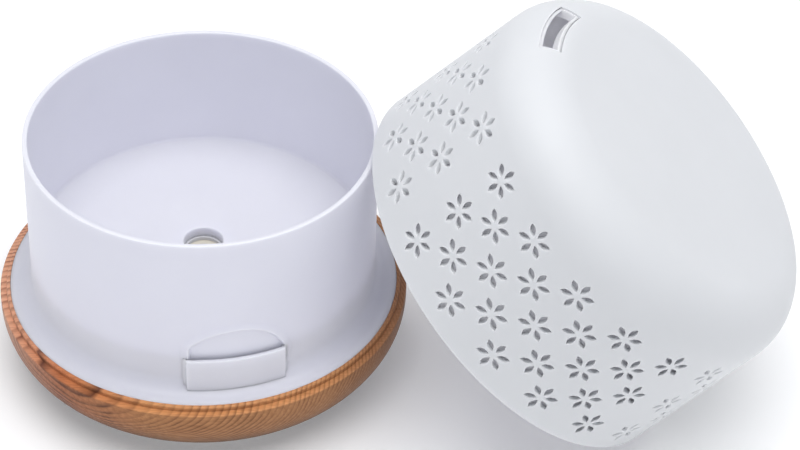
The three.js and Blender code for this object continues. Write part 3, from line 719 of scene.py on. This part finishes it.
def depth_in(outline, points):
    """How far each point lies inside a closed outline, or outside it where negative."""
    corners = np.array([tuple(p) for p in outline])
    nearest = np.full(len(points), 1e9)
    inside = np.zeros(len(points), bool)
    for a, b in zip(corners, np.roll(corners, -1, axis=0)):
        along = np.clip((points - a) @ (b - a) / max((b - a) @ (b - a), 1e-12), 0, 1)
        nearest = np.minimum(nearest, np.hypot(*(points - a - along[:, None] * (b - a)).T))
        crosses = (a[1] > points[:, 1]) != (b[1] > points[:, 1])
        if crosses.any():
            at = a[0] + (points[crosses, 1] - a[1]) * (b[0] - a[0]) / (b[1] - a[1])
            inside[crosses] ^= points[crosses, 0] < at
    return np.where(inside, nearest, -nearest)


def eased(values, width):
    t = np.clip(values / width, 0, 1)
    return t * t * (3 - 2 * t)


def moon_relief(angle, height, outline):
    """How far the tank's outside stands out at each point: the recess and the border round it."""
    across = TANK_RADIUS * np.sin(angle - OUTLET_DIRECTION)
    depth = depth_in(outline, np.column_stack([across, height - OUTLET_TOP]))
    recess = eased(depth + 0.1, 0.8)
    border = eased(depth + MOON_BORDER, MOON_BORDER) * (1 - recess)
    return MOON_RISE * border - MOON_DEPTH * recess


def tank_profile():
    inner = TANK_RADIUS - TANK_WALL
    under = TRAY_TOP - TRAY_THICKNESS
    foot = (TANK_RADIUS + FOOT_FILLET, TRAY_TOP + FOOT_FILLET)
    fine = [(TANK_RADIUS, z) for z in spread([OUTLET_TOP - 5, OUTLET_TOP + 19], MOON_LINE_PITCH)][::-1]
    top = [
        *arc((inner - 1.6, TANK_FLOOR + 1.6), 1.6, 1.6, -90, 0, 6),
        (inner, TANK_FLOOR + 18), (inner, TANK_FLOOR + 36), (inner, TANK_RIM - 0.7),
        *arc((inner + RIM_FILLET, TANK_RIM - RIM_FILLET), RIM_FILLET, RIM_FILLET, 180, 90, 4),
        *arc((TANK_RADIUS - RIM_FILLET, TANK_RIM - RIM_FILLET), RIM_FILLET, RIM_FILLET, 90, 0, 4),
    ]
    tray = [
        *arc(foot, FOOT_FILLET, FOOT_FILLET, 180, 270, 12),
        *arc((TRAY_EDGE - 0.15, TRAY_TOP - 0.15), 0.15, 0.15, 90, 0, 3), (TRAY_EDGE, TRAY_TOP - 1),
        (TRAY_RADIUS, TRAY_TOP - 1.2),
        (TRAY_RADIUS, LEDGE_TOP + 0.4), (TRAY_RADIUS - 2, LEDGE_TOP + 0.4), (TRAY_RADIUS - 2, under),
        (inner, under),
        (inner, TANK_FLOOR - FLOOR_THICKNESS), (BOSS_EDGE, TANK_FLOOR - FLOOR_THICKNESS),
        (BOSS_EDGE, SUMP_UNDERSIDE), (SEAL_POCKET, SUMP_UNDERSIDE), (SEAL_POCKET, SUMP_LEDGE),
    ]
    sump = [(SUMP_RADIUS, SUMP_LEDGE), *arc((SUMP_RADIUS + 0.6, TANK_FLOOR - 0.6), 0.6, 0.6, 180, 90, 4)]
    return [*top, *fine, *tray, *sump]


def outlet_sector(shape, inner, outer, half_angle, bottom, top):
    steps = 48
    turns = [OUTLET_DIRECTION + half_angle * (2 * i / steps - 1) for i in range(steps + 1)]
    outline = [on_circle(outer, a) for a in turns] + [on_circle(inner, a) for a in reversed(turns)]
    shape.lofted([[(x, y, z) for x, y in outline] for z in (bottom, top)])


def make_tank():
    left, right = OUTLET_DIRECTION - MOON_REACH, OUTLET_DIRECTION + MOON_REACH
    fine = spread([left, right], MOON_LINE_PITCH / TANK_RADIUS)
    rest = spread([right, OUTLET_DIRECTION + 2 * math.pi - MOON_REACH], math.radians(1.6))
    angles = fine[:-1] + rest[:-1]
    shape = Shape()
    shape.turned(tank_profile(), angles)
    outline = moon_outline()
    wall = [v for v in shape.mesh.verts if abs(math.hypot(v.co.x, v.co.y) - TANK_RADIUS) < 1e-4
            and OUTLET_TOP - 5.5 < v.co.z < OUTLET_TOP + 19.5]
    turn = np.array([math.atan2(v.co.y, v.co.x) for v in wall])
    near = np.abs(turn - OUTLET_DIRECTION) < MOON_REACH
    relief = moon_relief(turn, np.array([v.co.z for v in wall]), outline)
    for vert, amount, close in zip(wall, relief, near):
        if close:
            growth = 1 + amount / TANK_RADIUS
            vert.co.x *= growth
            vert.co.y *= growth
    tank = to_mesh(shape, "tank_body", sharp=40)
    cutter = Shape()
    slot_half = OUTLET_HALF_ANGLE - SLOT_END_WALL / OUTLET_RADIUS
    outlet_sector(cutter, SLOT_INNER, SLOT_OUTER, slot_half, TRAY_TOP - 4, TRAY_TOP + 8)
    tank = cut_away(tank, to_mesh(cutter, "tray_slot"), sharp=40)
    piece("tank_body", tank, "base", TANK_WHITE, ["tank"])
    make_outlet()
    make_tank_posts()


def outlet_outline(out, slot):
    """The outlet block seen from above: `out` grows it and `slot` widens the slot behind its front wall."""
    steps = 56
    half = OUTLET_HALF_ANGLE + out / OUTLET_RADIUS
    slot_half = OUTLET_HALF_ANGLE - (SLOT_END_WALL - slot) / OUTLET_RADIUS
    front = OUTLET_RADIUS + out
    behind = TANK_RADIUS - 1.2
    corner = OUTLET_CORNER
    turns = np.linspace(-half + corner / front, half - corner / front, steps)
    slot_turns = np.linspace(slot_half, -slot_half, steps)
    bend = [(corner * (1 - math.cos(t)), corner * (1 - math.sin(t)) / front)
            for t in np.radians([0, 22, 45, 68])]
    places = [
        (behind, -half),
        *((front - corner + back, -half + corner / front - along) for back, along in bend),
        *((front, a) for a in turns),
        *((front - corner + back, half - corner / front + along) for back, along in reversed(bend)),
        (behind, half), (behind, slot_half),
        *((SLOT_OUTER + slot, a) for a in slot_turns),
        (behind, -slot_half),
    ]
    return [on_circle(radius, OUTLET_DIRECTION + a) for radius, a in places]


def make_outlet():
    shape = Shape()
    levels = [
        (TRAY_TOP - 0.8, 0, 0), (OUTLET_TOP - 0.6, 0, 0), (OUTLET_TOP - 0.27, -0.06, 0.06),
        (OUTLET_TOP - 0.08, -0.22, 0.2), (OUTLET_TOP, -0.5, 0.4),
    ]
    shape.lofted([[(x, y, z) for x, y in outlet_outline(out, slot)] for z, out, slot in levels])
    piece("outlet_block", to_mesh(shape, "outlet_block", sharp=45), "base", TANK_WHITE)


def make_tank_posts():
    """Screw posts under the tank, which the underside's screws go into."""
    shape = Shape()
    for turn in BOSS_TURNS:
        x, y = on_circle(BOSS_RADIUS, turn)
        shape.turned([(1.2, 2.6), (3.4, 2.6), (3.4, TANK_FLOOR - 1), (1.2, TANK_FLOOR - 1)],
                     full_circle(40), matrix=place(x, y))
    for x_low, x_high in ((-25.5, -23.6), (23.6, 25.5)):
        shape.block((x_low, 65.4, 15), (x_high, 68.6, TRAY_TOP - 1.2))
    piece("tank_posts", to_mesh(shape, "tank_posts"), "base", TANK_WHITE)


# ---- cover and hood


def cover_radius(height, inset=0.0):
    return COVER_RADIUS - COVER_DRAFT * height - inset


def cover_matrix():
    foot = place(*on_circle(COVER_REACH, COVER_AZIMUTH), FLOOR + COVER_RADIUS * math.sin(COVER_TILT))
    return (foot @ Matrix.Rotation(COVER_AZIMUTH, 4, "Z") @ Matrix.Rotation(COVER_TILT, 4, "Y")
            @ Matrix.Rotation(COVER_SPIN, 4, "Z"))


def cover_normal(point, kind):
    """The normal of the cover's smooth outline at a point of either skin."""
    side = -1 if kind == INNER else 1
    radius = math.hypot(point.x, point.y)
    if point.z <= SHOULDER + 1e-3:
        out = Vector((point.x / radius, point.y / radius, COVER_DRAFT))
    elif radius > ROUNDING_CENTRE:
        spare = (radius - ROUNDING_CENTRE) / radius
        out = Vector((point.x * spare, point.y * spare, point.z - SHOULDER))
    else:
        out = Vector((0, 0, 1))
    return out.normalized() * side


def petal_outline():
    """A petal's outline as ((along, across), (outward normal)) pairs, anticlockwise from its inner tip."""
    length = PETAL_END - PETAL_START

    def half_width(t):
        reach = PETAL_WIDEST if t < PETAL_WIDEST else 1 - PETAL_WIDEST
        return PETAL_WIDTH / 2 * (1 - ((t - PETAL_WIDEST) / reach) ** 2)

    near = [Vector((PETAL_START + length * t, -half_width(t))) for t in PETAL_STEPS]
    far = [Vector((p.x, -p.y)) for p in reversed(near)]
    points = [Vector((PETAL_START, 0)), *near, Vector((PETAL_END, 0)), *far]
    outline = []
    for i, point in enumerate(points):
        tangent = points[(i + 1) % len(points)] - points[i - 1]
        outline.append((point, Vector((tangent.y, -tangent.x)).normalized()))
    return outline


def flower_places():
    """Each flower's (angle from the field's middle, height)."""
    for column in range(-COLUMN_REACH, COLUMN_REACH + 1):
        for row in range(column % 2, ROW_COUNT, 2):
            yield column * COLUMN_PITCH, FIRST_ROW + row * ROW_PITCH


def pulled_in(angle, height, depth):
    """The point `depth` under the outside, reached straight along the field's middle direction."""
    across = cover_radius(height) * math.sin(angle)
    return Vector((math.sqrt(cover_radius(height, depth) ** 2 - across ** 2), across, height))


def inner_grid_point(angle, height, low, high):
    """Where the inner skin has the point that lies behind a grid point of the outer skin."""
    radius = cover_radius(height, COVER_WALL)
    if height == low:
        return Vector((*on_circle(radius, angle), RIM_STEP))
    radial = Vector((*on_circle(radius, angle), height))
    if height == high or abs(angle) > FIELD_EDGE - 1e-6:
        return radial
    spare = max(0.0, (abs(angle) - PULL_REACH) / (FIELD_EDGE - PULL_REACH))
    moved = pulled_in(angle, height, COVER_WALL).lerp(radial, spare)
    scale = radius / math.hypot(moved.x, moved.y)
    return Vector((moved.x * scale, moved.y * scale, height))


def field_layout(angles, low, high):
    """The unrolled field as (angle, height) points, its petals' loops and its triangles."""
    grid_rows = spread([low, high], GRID_PITCH)
    columns = spread([-FIELD_EDGE, FIELD_EDGE], GRID_PITCH / COVER_RADIUS)
    points = [(a, z) for z in (low, high) for a in angles]
    points += [(a, z) for z in grid_rows[1:-1] for a in (-FIELD_EDGE, FIELD_EDGE)]
    flowers = list(flower_places())
    for height in grid_rows[1:-1]:
        for angle in columns[1:-1]:
            gaps = [math.hypot((angle - a) * cover_radius(z), height - z) for a, z in flowers]
            if min(gaps) > FLOWER_CLEAR:
                points.append((angle, height))
    points += flowers
    loops = []
    outline = petal_outline()
    for angle, height in flowers:
        radius = cover_radius(height)
        for i in range(PETAL_COUNT):
            turn = Matrix.Rotation(-(i + 0.5) * 2 * math.pi / PETAL_COUNT, 2)
            loop = []
            for point, normal in outline:
                edge = turn @ point
                out = turn @ normal
                grown = edge + out * PETAL_EDGE
                loop.append({
                    "edge": (angle + edge.x / radius, height + edge.y), "out": out, "index": len(points)})
                points.append((angle + grown.x / radius, height + grown.y))
            loops.append(loop)
    owner = {corner["index"]: n for n, loop in enumerate(loops) for corner in loop}
    flat = [Vector((a * COVER_RADIUS, z)) for a, z in points]
    edges = [(loop[k - 1]["index"], loop[k]["index"]) for loop in loops for k in range(len(loop))]
    _, _, faces, origin, _, _ = delaunay_2d_cdt(flat, edges, [], 0, 1e-6)
    triangles = []
    for face in faces:
        corners = [origin[v][0] for v in face]
        owners = {owner.get(c) for c in corners}
        if None in owners or len(owners) > 1:
            triangles.append(corners)
    return points, loops, triangles


def add_field(shape, layout, turn, low, high):
    points, loops, triangles = layout
    spin = Matrix.Rotation(turn, 3, "Z")
    outer, inner = [], []
    petal_corner = {corner["index"]: corner for loop in loops for corner in loop}

    def wall_point(corner, depth):
        normal = spin @ Vector((0, -corner["out"].x, -corner["out"].y))
        return shape.point(spin @ pulled_in(*corner["edge"], depth), normal)

    for i, (angle, height) in enumerate(points):
        outer.append(shape.point(spin @ Vector((*on_circle(cover_radius(height), angle), height))))
        if i in petal_corner:
            inner.append(wall_point(petal_corner[i], COVER_WALL))
        else:
            inner.append(shape.point(spin @ inner_grid_point(angle, height, low, high)))
    for triangle in triangles:
        shape.face([outer[i] for i in triangle], OUTER)
        shape.face([inner[i] for i in reversed(triangle)], INNER)
    for loop in loops:
        walls = [wall_point(corner, PETAL_EDGE) for corner in loop]
        shape.bridge([outer[c["index"]] for c in loop], walls, WALL)
        shape.bridge(walls, [inner[c["index"]] for c in loop], WALL)


def dome_rings(inset, radii):
    """(radius, height) of each ring, up the rounding through `radii` and in over the flat top."""
    rounding = COVER_ROUNDING - inset
    marks = [0, *(math.acos((r - ROUNDING_CENTRE) / rounding) for r in radii), math.pi / 2]
    rings = []
    for low, high, count in zip(marks, marks[1:], DOME_STEPS):
        for i in range(count):
            t = low + (high - low) * i / count
            rings.append((ROUNDING_CENTRE + rounding * math.cos(t), SHOULDER + rounding * math.sin(t)))
    top = SHOULDER + rounding
    return rings + [(ROUNDING_CENTRE * (1 - i / FLAT_STEPS), top) for i in range(FLAT_STEPS)]


def skin_height(radius, inset):
    return SHOULDER + math.sqrt((COVER_ROUNDING - inset) ** 2 - (radius - ROUNDING_CENTRE) ** 2)


def add_dome(shape, insets, radii, angles, level_of, raised_inset=0.0, edge_drop=0.0):
    """The rounded top with two skins. level_of(radius, angle) says if a cell is plain, raised or open."""
    profiles = [dome_rings(inset, radii) for inset in insets]
    count = len(angles)
    outer, inner = (
        [shape.circle(radius, height, angles) for radius, height in profile] for profile in profiles)
    lifted = {}

    def lift(i, k):
        if (i, k) not in lifted:
            radius = profiles[0][i][0]
            x, y = on_circle(radius, angles[k])
            lifted[i, k] = shape.point((x, y, skin_height(radius, raised_inset)))
        return lifted[i, k]

    levels = {}
    last = len(profiles[0]) - 1
    for i in range(last):
        middle = (profiles[0][i][0] + profiles[0][i + 1][0]) / 2
        for k in range(count):
            step = (angles[(k + 1) % count] - angles[k]) % (2 * math.pi)
            levels[i, k] = level_of(middle, angles[k] + step / 2)
    dropped = set()
    for (i, k), level in levels.items():
        nk = (k + 1) % count
        corners = [(i, k), (i, nk), (i + 1, nk), (i + 1, k)]
        neighbours = [(i - 1, k), (i, nk), (i + 1, k), (i, k - 1 if k else count - 1)]
        top = [lift(*c) if level == RAISED else outer[c[0]][c[1]] for c in corners]
        if level != OPEN:
            shape.face(top, OUTER if level == PLAIN else AUTO)
            shape.face([inner[a][b] for a, b in reversed(corners)], INNER)
        for e in range(4):
            other = levels.get(neighbours[e], PLAIN)
            ends = [corners[e], corners[(e + 1) % 4]]
            if level == OPEN and other != OPEN:
                rim = [lift(*c) if other == RAISED else outer[c[0]][c[1]] for c in ends]
                shape.face([rim[1], rim[0], inner[ends[0][0]][ends[0][1]], inner[ends[1][0]][ends[1][1]]])
                dropped.update(ends)
            if level == RAISED and other == PLAIN:
                base = [outer[a][b] for a, b in ends]
                shape.face([base[0], base[1], lift(*ends[1]), lift(*ends[0])])
    for i, k in dropped:
        outer[i][k].co.z -= edge_drop
    for rings, kind, profile in ((outer, OUTER, profiles[0]), (inner, INNER, profiles[1])):
        centre = shape.point((0, 0, profile[-1][1]))
        for k in range(count):
            shape.face([rings[-1][k], rings[-1][(k + 1) % count], centre], kind)
    return outer[0], inner[0]


def field_angles(marks):
    """Lines of one field from edge to edge, through the marks on both sides of its middle."""
    both = [-FIELD_EDGE, *(-m for m in reversed(marks)), *marks, FIELD_EDGE]
    return spread(both, DOME_PITCH)


def all_fields(lines):
    return [turn + a for turn in FIELD_TURNS for a in lines[:-1]]


def in_slot(radius, angle, shrink):
    """True inside the mist slot shrunk by that much."""
    turned = (angle + math.pi) % (2 * math.pi) - math.pi
    across = MIST_HALF_ANGLE - shrink / MIST_OUTER
    return MIST_INNER + shrink < radius < MIST_OUTER - shrink and abs(turned) < across


def make_cover():
    shape = Shape()
    low, high = 0.4, SHOULDER
    lines = field_angles([MIST_HALF_ANGLE, MIST_HALF_ANGLE + MIST_EDGE / MIST_OUTER])
    layout = field_layout(lines, low, high)
    for turn in FIELD_TURNS:
        add_field(shape, layout, turn, low, high)
    angles = all_fields(lines)
    radii = [MIST_OUTER + MIST_EDGE, MIST_OUTER, MIST_INNER, MIST_INNER - MIST_EDGE]
    add_dome(shape, (0, COVER_WALL), radii, angles,
             lambda radius, angle: OPEN if in_slot(radius, angle, 0) else PLAIN, edge_drop=MIST_EDGE)
    outside, inside = cover_radius(low), cover_radius(low, COVER_WALL)
    rebate = inside + RIM_REBATE
    rim = [
        (outside, low), (outside - 0.12, 0.12), (outside - 0.4, 0),
        (rebate + 0.15, 0), (rebate, 0.15), (rebate, RIM_STEP), (inside, RIM_STEP),
    ]
    rings = [shape.circle(radius, height, angles) for radius, height in rim]
    for upper, lower in zip(rings, rings[1:]):
        shape.bridge(lower, upper)
    mesh = to_mesh(shape, "flower_cover", cover_matrix(), normal_of=cover_normal)
    piece("flower_cover", mesh, "cover", COVER_WHITE, ["outer_cover"])


def make_hood():
    shape = Shape()
    outer_gap, inner_gap = CHIMNEY_GAP, CHIMNEY_GAP + CHIMNEY_WALL
    lines = field_angles([MIST_HALF_ANGLE - gap / MIST_OUTER for gap in (inner_gap, outer_gap)])
    angles = all_fields(lines)
    radii = [MIST_OUTER - outer_gap, MIST_OUTER - inner_gap, MIST_INNER + inner_gap, MIST_INNER + outer_gap]

    def level_of(radius, angle):
        if in_slot(radius, angle, inner_gap):
            return OPEN
        return RAISED if in_slot(radius, angle, outer_gap) else PLAIN

    insets = (HOOD_INSET, HOOD_INSET + HOOD_WALL)
    tops = add_dome(shape, insets, radii, angles, level_of, raised_inset=CHIMNEY_DROP)
    feet = []
    for inset, kind, top in zip(insets, (OUTER, INNER), tops):
        previous = top
        for height in HOOD_LEVELS:
            ring = shape.circle(cover_radius(height, inset), height, angles)
            shape.bridge(ring, previous, kind)
            previous = ring
        feet.append(previous)
    shape.bridge(feet[1], feet[0])
    mesh = to_mesh(shape, "mist_hood", cover_matrix(), normal_of=cover_normal)
    piece("mist_hood", mesh, "cover", HOOD_WHITE, ["inner_hood"])


# ---- underside, feet and screws


def make_underside():
    thickness = 2.2
    rim = 58.2
    shape = Shape()
    shape.turned([
        (0, 0), (60, 0), *arc((62.2, 0.7), 0.7, 0.7, -90, 0, 4), (62.9, thickness), (rim, thickness),
        (rim, 4.2), (rim - 1.6, 4.2), (rim - 1.6, thickness), (0, thickness),
    ], full_circle(160), closed=False)
    cutters = Shape()
    fan_turn = Matrix.Rotation(OUTLET_DIRECTION + math.pi / 2, 4, "Z")
    for i in range(-3, 4):
        off = i * INTAKE_PITCH
        half = math.sqrt(FAN_OPENING ** 2 - off ** 2) - INTAKE_END
        ends = [(side * half + INTAKE_END * math.cos(t), off - FAN_REACH + INTAKE_END * math.sin(t))
                for side, start in ((1, -90), (-1, 90))
                for t in np.radians(np.linspace(start, start + 180, 9))]
        cutters.lofted([[fan_turn @ Vector((x, y, z)) for x, y in ends] for z in (-1, 3)])
    for turn in FOOT_TURNS:
        cylinder(cutters, 5.3, -1, 0.8, place(*on_circle(FOOT_RADIUS, turn)), 48)
    for turn in BOSS_TURNS:
        matrix = place(*on_circle(BOSS_RADIUS, turn))
        cutters.turned([(0, -1), (3, -1), (3, 1.4), (1.5, 1.4), (1.5, 3), (0, 3)], full_circle(40),
                       closed=False, matrix=matrix)
    cover = cut_away(to_mesh(shape, "underside"), to_mesh(cutters, "underside_holes"))
    piece("underside_cover", cover, "base", UNDERSIDE_WHITE, ["bottom_cover"])
    posts = Shape()
    for i, j in ((-1, -1), (-1, 1), (1, -1), (1, 1)):
        fan_post = fan_turn @ Vector((i * FAN_HOLE_REACH, j * FAN_HOLE_REACH - FAN_REACH, 0))
        cylinder(posts, 2.6, 1.2, 4.3, place(fan_post.x, fan_post.y), 32)
        board_post = [c + n * reach for c, n, reach in zip(BOARD_CENTRE, (i, j), BOARD_HOLE_REACH)]
        cylinder(posts, 2.4, 1.2, 17.9, place(*board_post), 32)
    piece("underside_posts", to_mesh(posts, "underside_posts"), "base", UNDERSIDE_WHITE)


def make_feet():
    for i, turn in enumerate(FOOT_TURNS, 1):
        shape = Shape()
        shape.turned([
            (0, FLOOR), (2.6, FLOOR), *arc((4.3, FLOOR + 0.7), 0.7, 0.7, -90, 0, 4), (5, 0.7), (0, 0.7),
        ], full_circle(48), closed=False, matrix=place(*on_circle(FOOT_RADIUS, turn)))
        piece(f"rubber_foot_{i}", to_mesh(shape, f"rubber_foot_{i}"), "base", RUBBER, [f"foot_{i}"])


def make_case_screws():
    for i, turn in enumerate(BOSS_TURNS, 1):
        matrix = place(*on_circle(BOSS_RADIUS, turn), 0.2)
        shape = Shape()
        shape.turned([
            (0, 0), (1.9, 0), *arc((1.9, 0.55), 0.7, 0.55, -90, 0, 5), (2.6, 1.1), (1, 1.1), (1, 12.2),
            (0, 13),
        ], full_circle(32), closed=False, matrix=matrix)
        screw = to_mesh(shape, "screw")
        for spin in (0, math.pi / 2):
            slot = Shape()
            slot.block((-1.4, -0.27, -1), (1.4, 0.27, 0.75), matrix @ Matrix.Rotation(turn + spin, 4, "Z"))
            screw = cut_away(screw, to_mesh(slot, "driver"))
        piece(f"cross_screw_{i}", screw, "base", STEEL, [f"case_screw_{i}"])


# ---- keys, socket and disc


def make_keys():
    face = BUTTON_FACE
    for name, side in (("mist", -1), ("light", 1)):
        shape = Shape()
        shape.turned([
            (0, BUTTON_BACK), (2.4, BUTTON_BACK), (2.4, FLANGE_BACK), (FLANGE_RADIUS, FLANGE_BACK),
            (FLANGE_RADIUS, FLANGE_FRONT), (BUTTON_RADIUS, FLANGE_FRONT),
            *arc((BUTTON_RADIUS - 0.7, face - 0.9), 0.7, 0.7, 0, 90, 5),
            (3.1, face - 0.1), (2.7, face - 0.25), (1.4, face - 0.42), (0, face - 0.45),
        ], full_circle(56), closed=False, matrix=backwards(side * BUTTON_X, BUTTON_Z))
        piece(f"{name}_key_cap", to_mesh(shape, f"{name}_key_cap"), f"{name}_key",
              BUTTON_WHITE, [f"{name}_button"])


def make_socket():
    out = JACK_PANEL_OUT + 0.1
    shape = Shape()
    shape.turned([
        (0, 62), (3.9, 62), (3.9, out), (5, out), (5, 78), *arc((4.6, 78.2), 0.4, 0.4, 0, 90, 4),
        (3.1, 78.6), (2.75, 78.25), (2.75, 68), (1, 68), (1, 75.9),
        *arc((0.6, 76.1), 0.4, 0.4, 0, 90, 4), (0, 76.5),
    ], full_circle(56), closed=False, matrix=outwards(JACK_TURN, JACK_Z))
    piece("power_socket", to_mesh(shape, "power_socket"), "base", BLACK, ["dc_jack"])


def make_disc():
    shape = Shape()
    cylinder(shape, DISC_HIGH.x, DISC_LOW.z, DISC_HIGH.z, steps=72, fillet=0.15)
    piece("mist_disc", to_mesh(shape, "mist_disc"), "base", CERAMIC, ["transducer_disc"])


# ---- floor and the rest of the frame


def make_floor():
    shape = Shape()
    reach = 4000
    shape.face([shape.point((x, y, FLOOR)) for x, y in
                ((-reach, -reach), (reach, -reach), (reach, reach), (-reach, reach))])
    mesh = to_mesh(shape, "floor")
    mesh.materials.append(floor_material())
    floor = bpy.data.objects.new("floor", mesh)
    bpy.context.scene.collection.objects.link(floor)


def finish_cad_nodes():
    """Gives every CAD node that still shows the material of its slot."""
    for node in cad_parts.values():
        for holder in node.material_slots:
            holder.material = MATERIAL_OF_SLOT[holder.material.name.split(".")[0]]


make_camera()
make_light()
make_floor()
finish_cad_nodes()
make_base_ring()
make_tank()
make_cover()
make_hood()
make_underside()
make_feet()
make_case_screws()
make_keys()
make_socket()
make_disc()
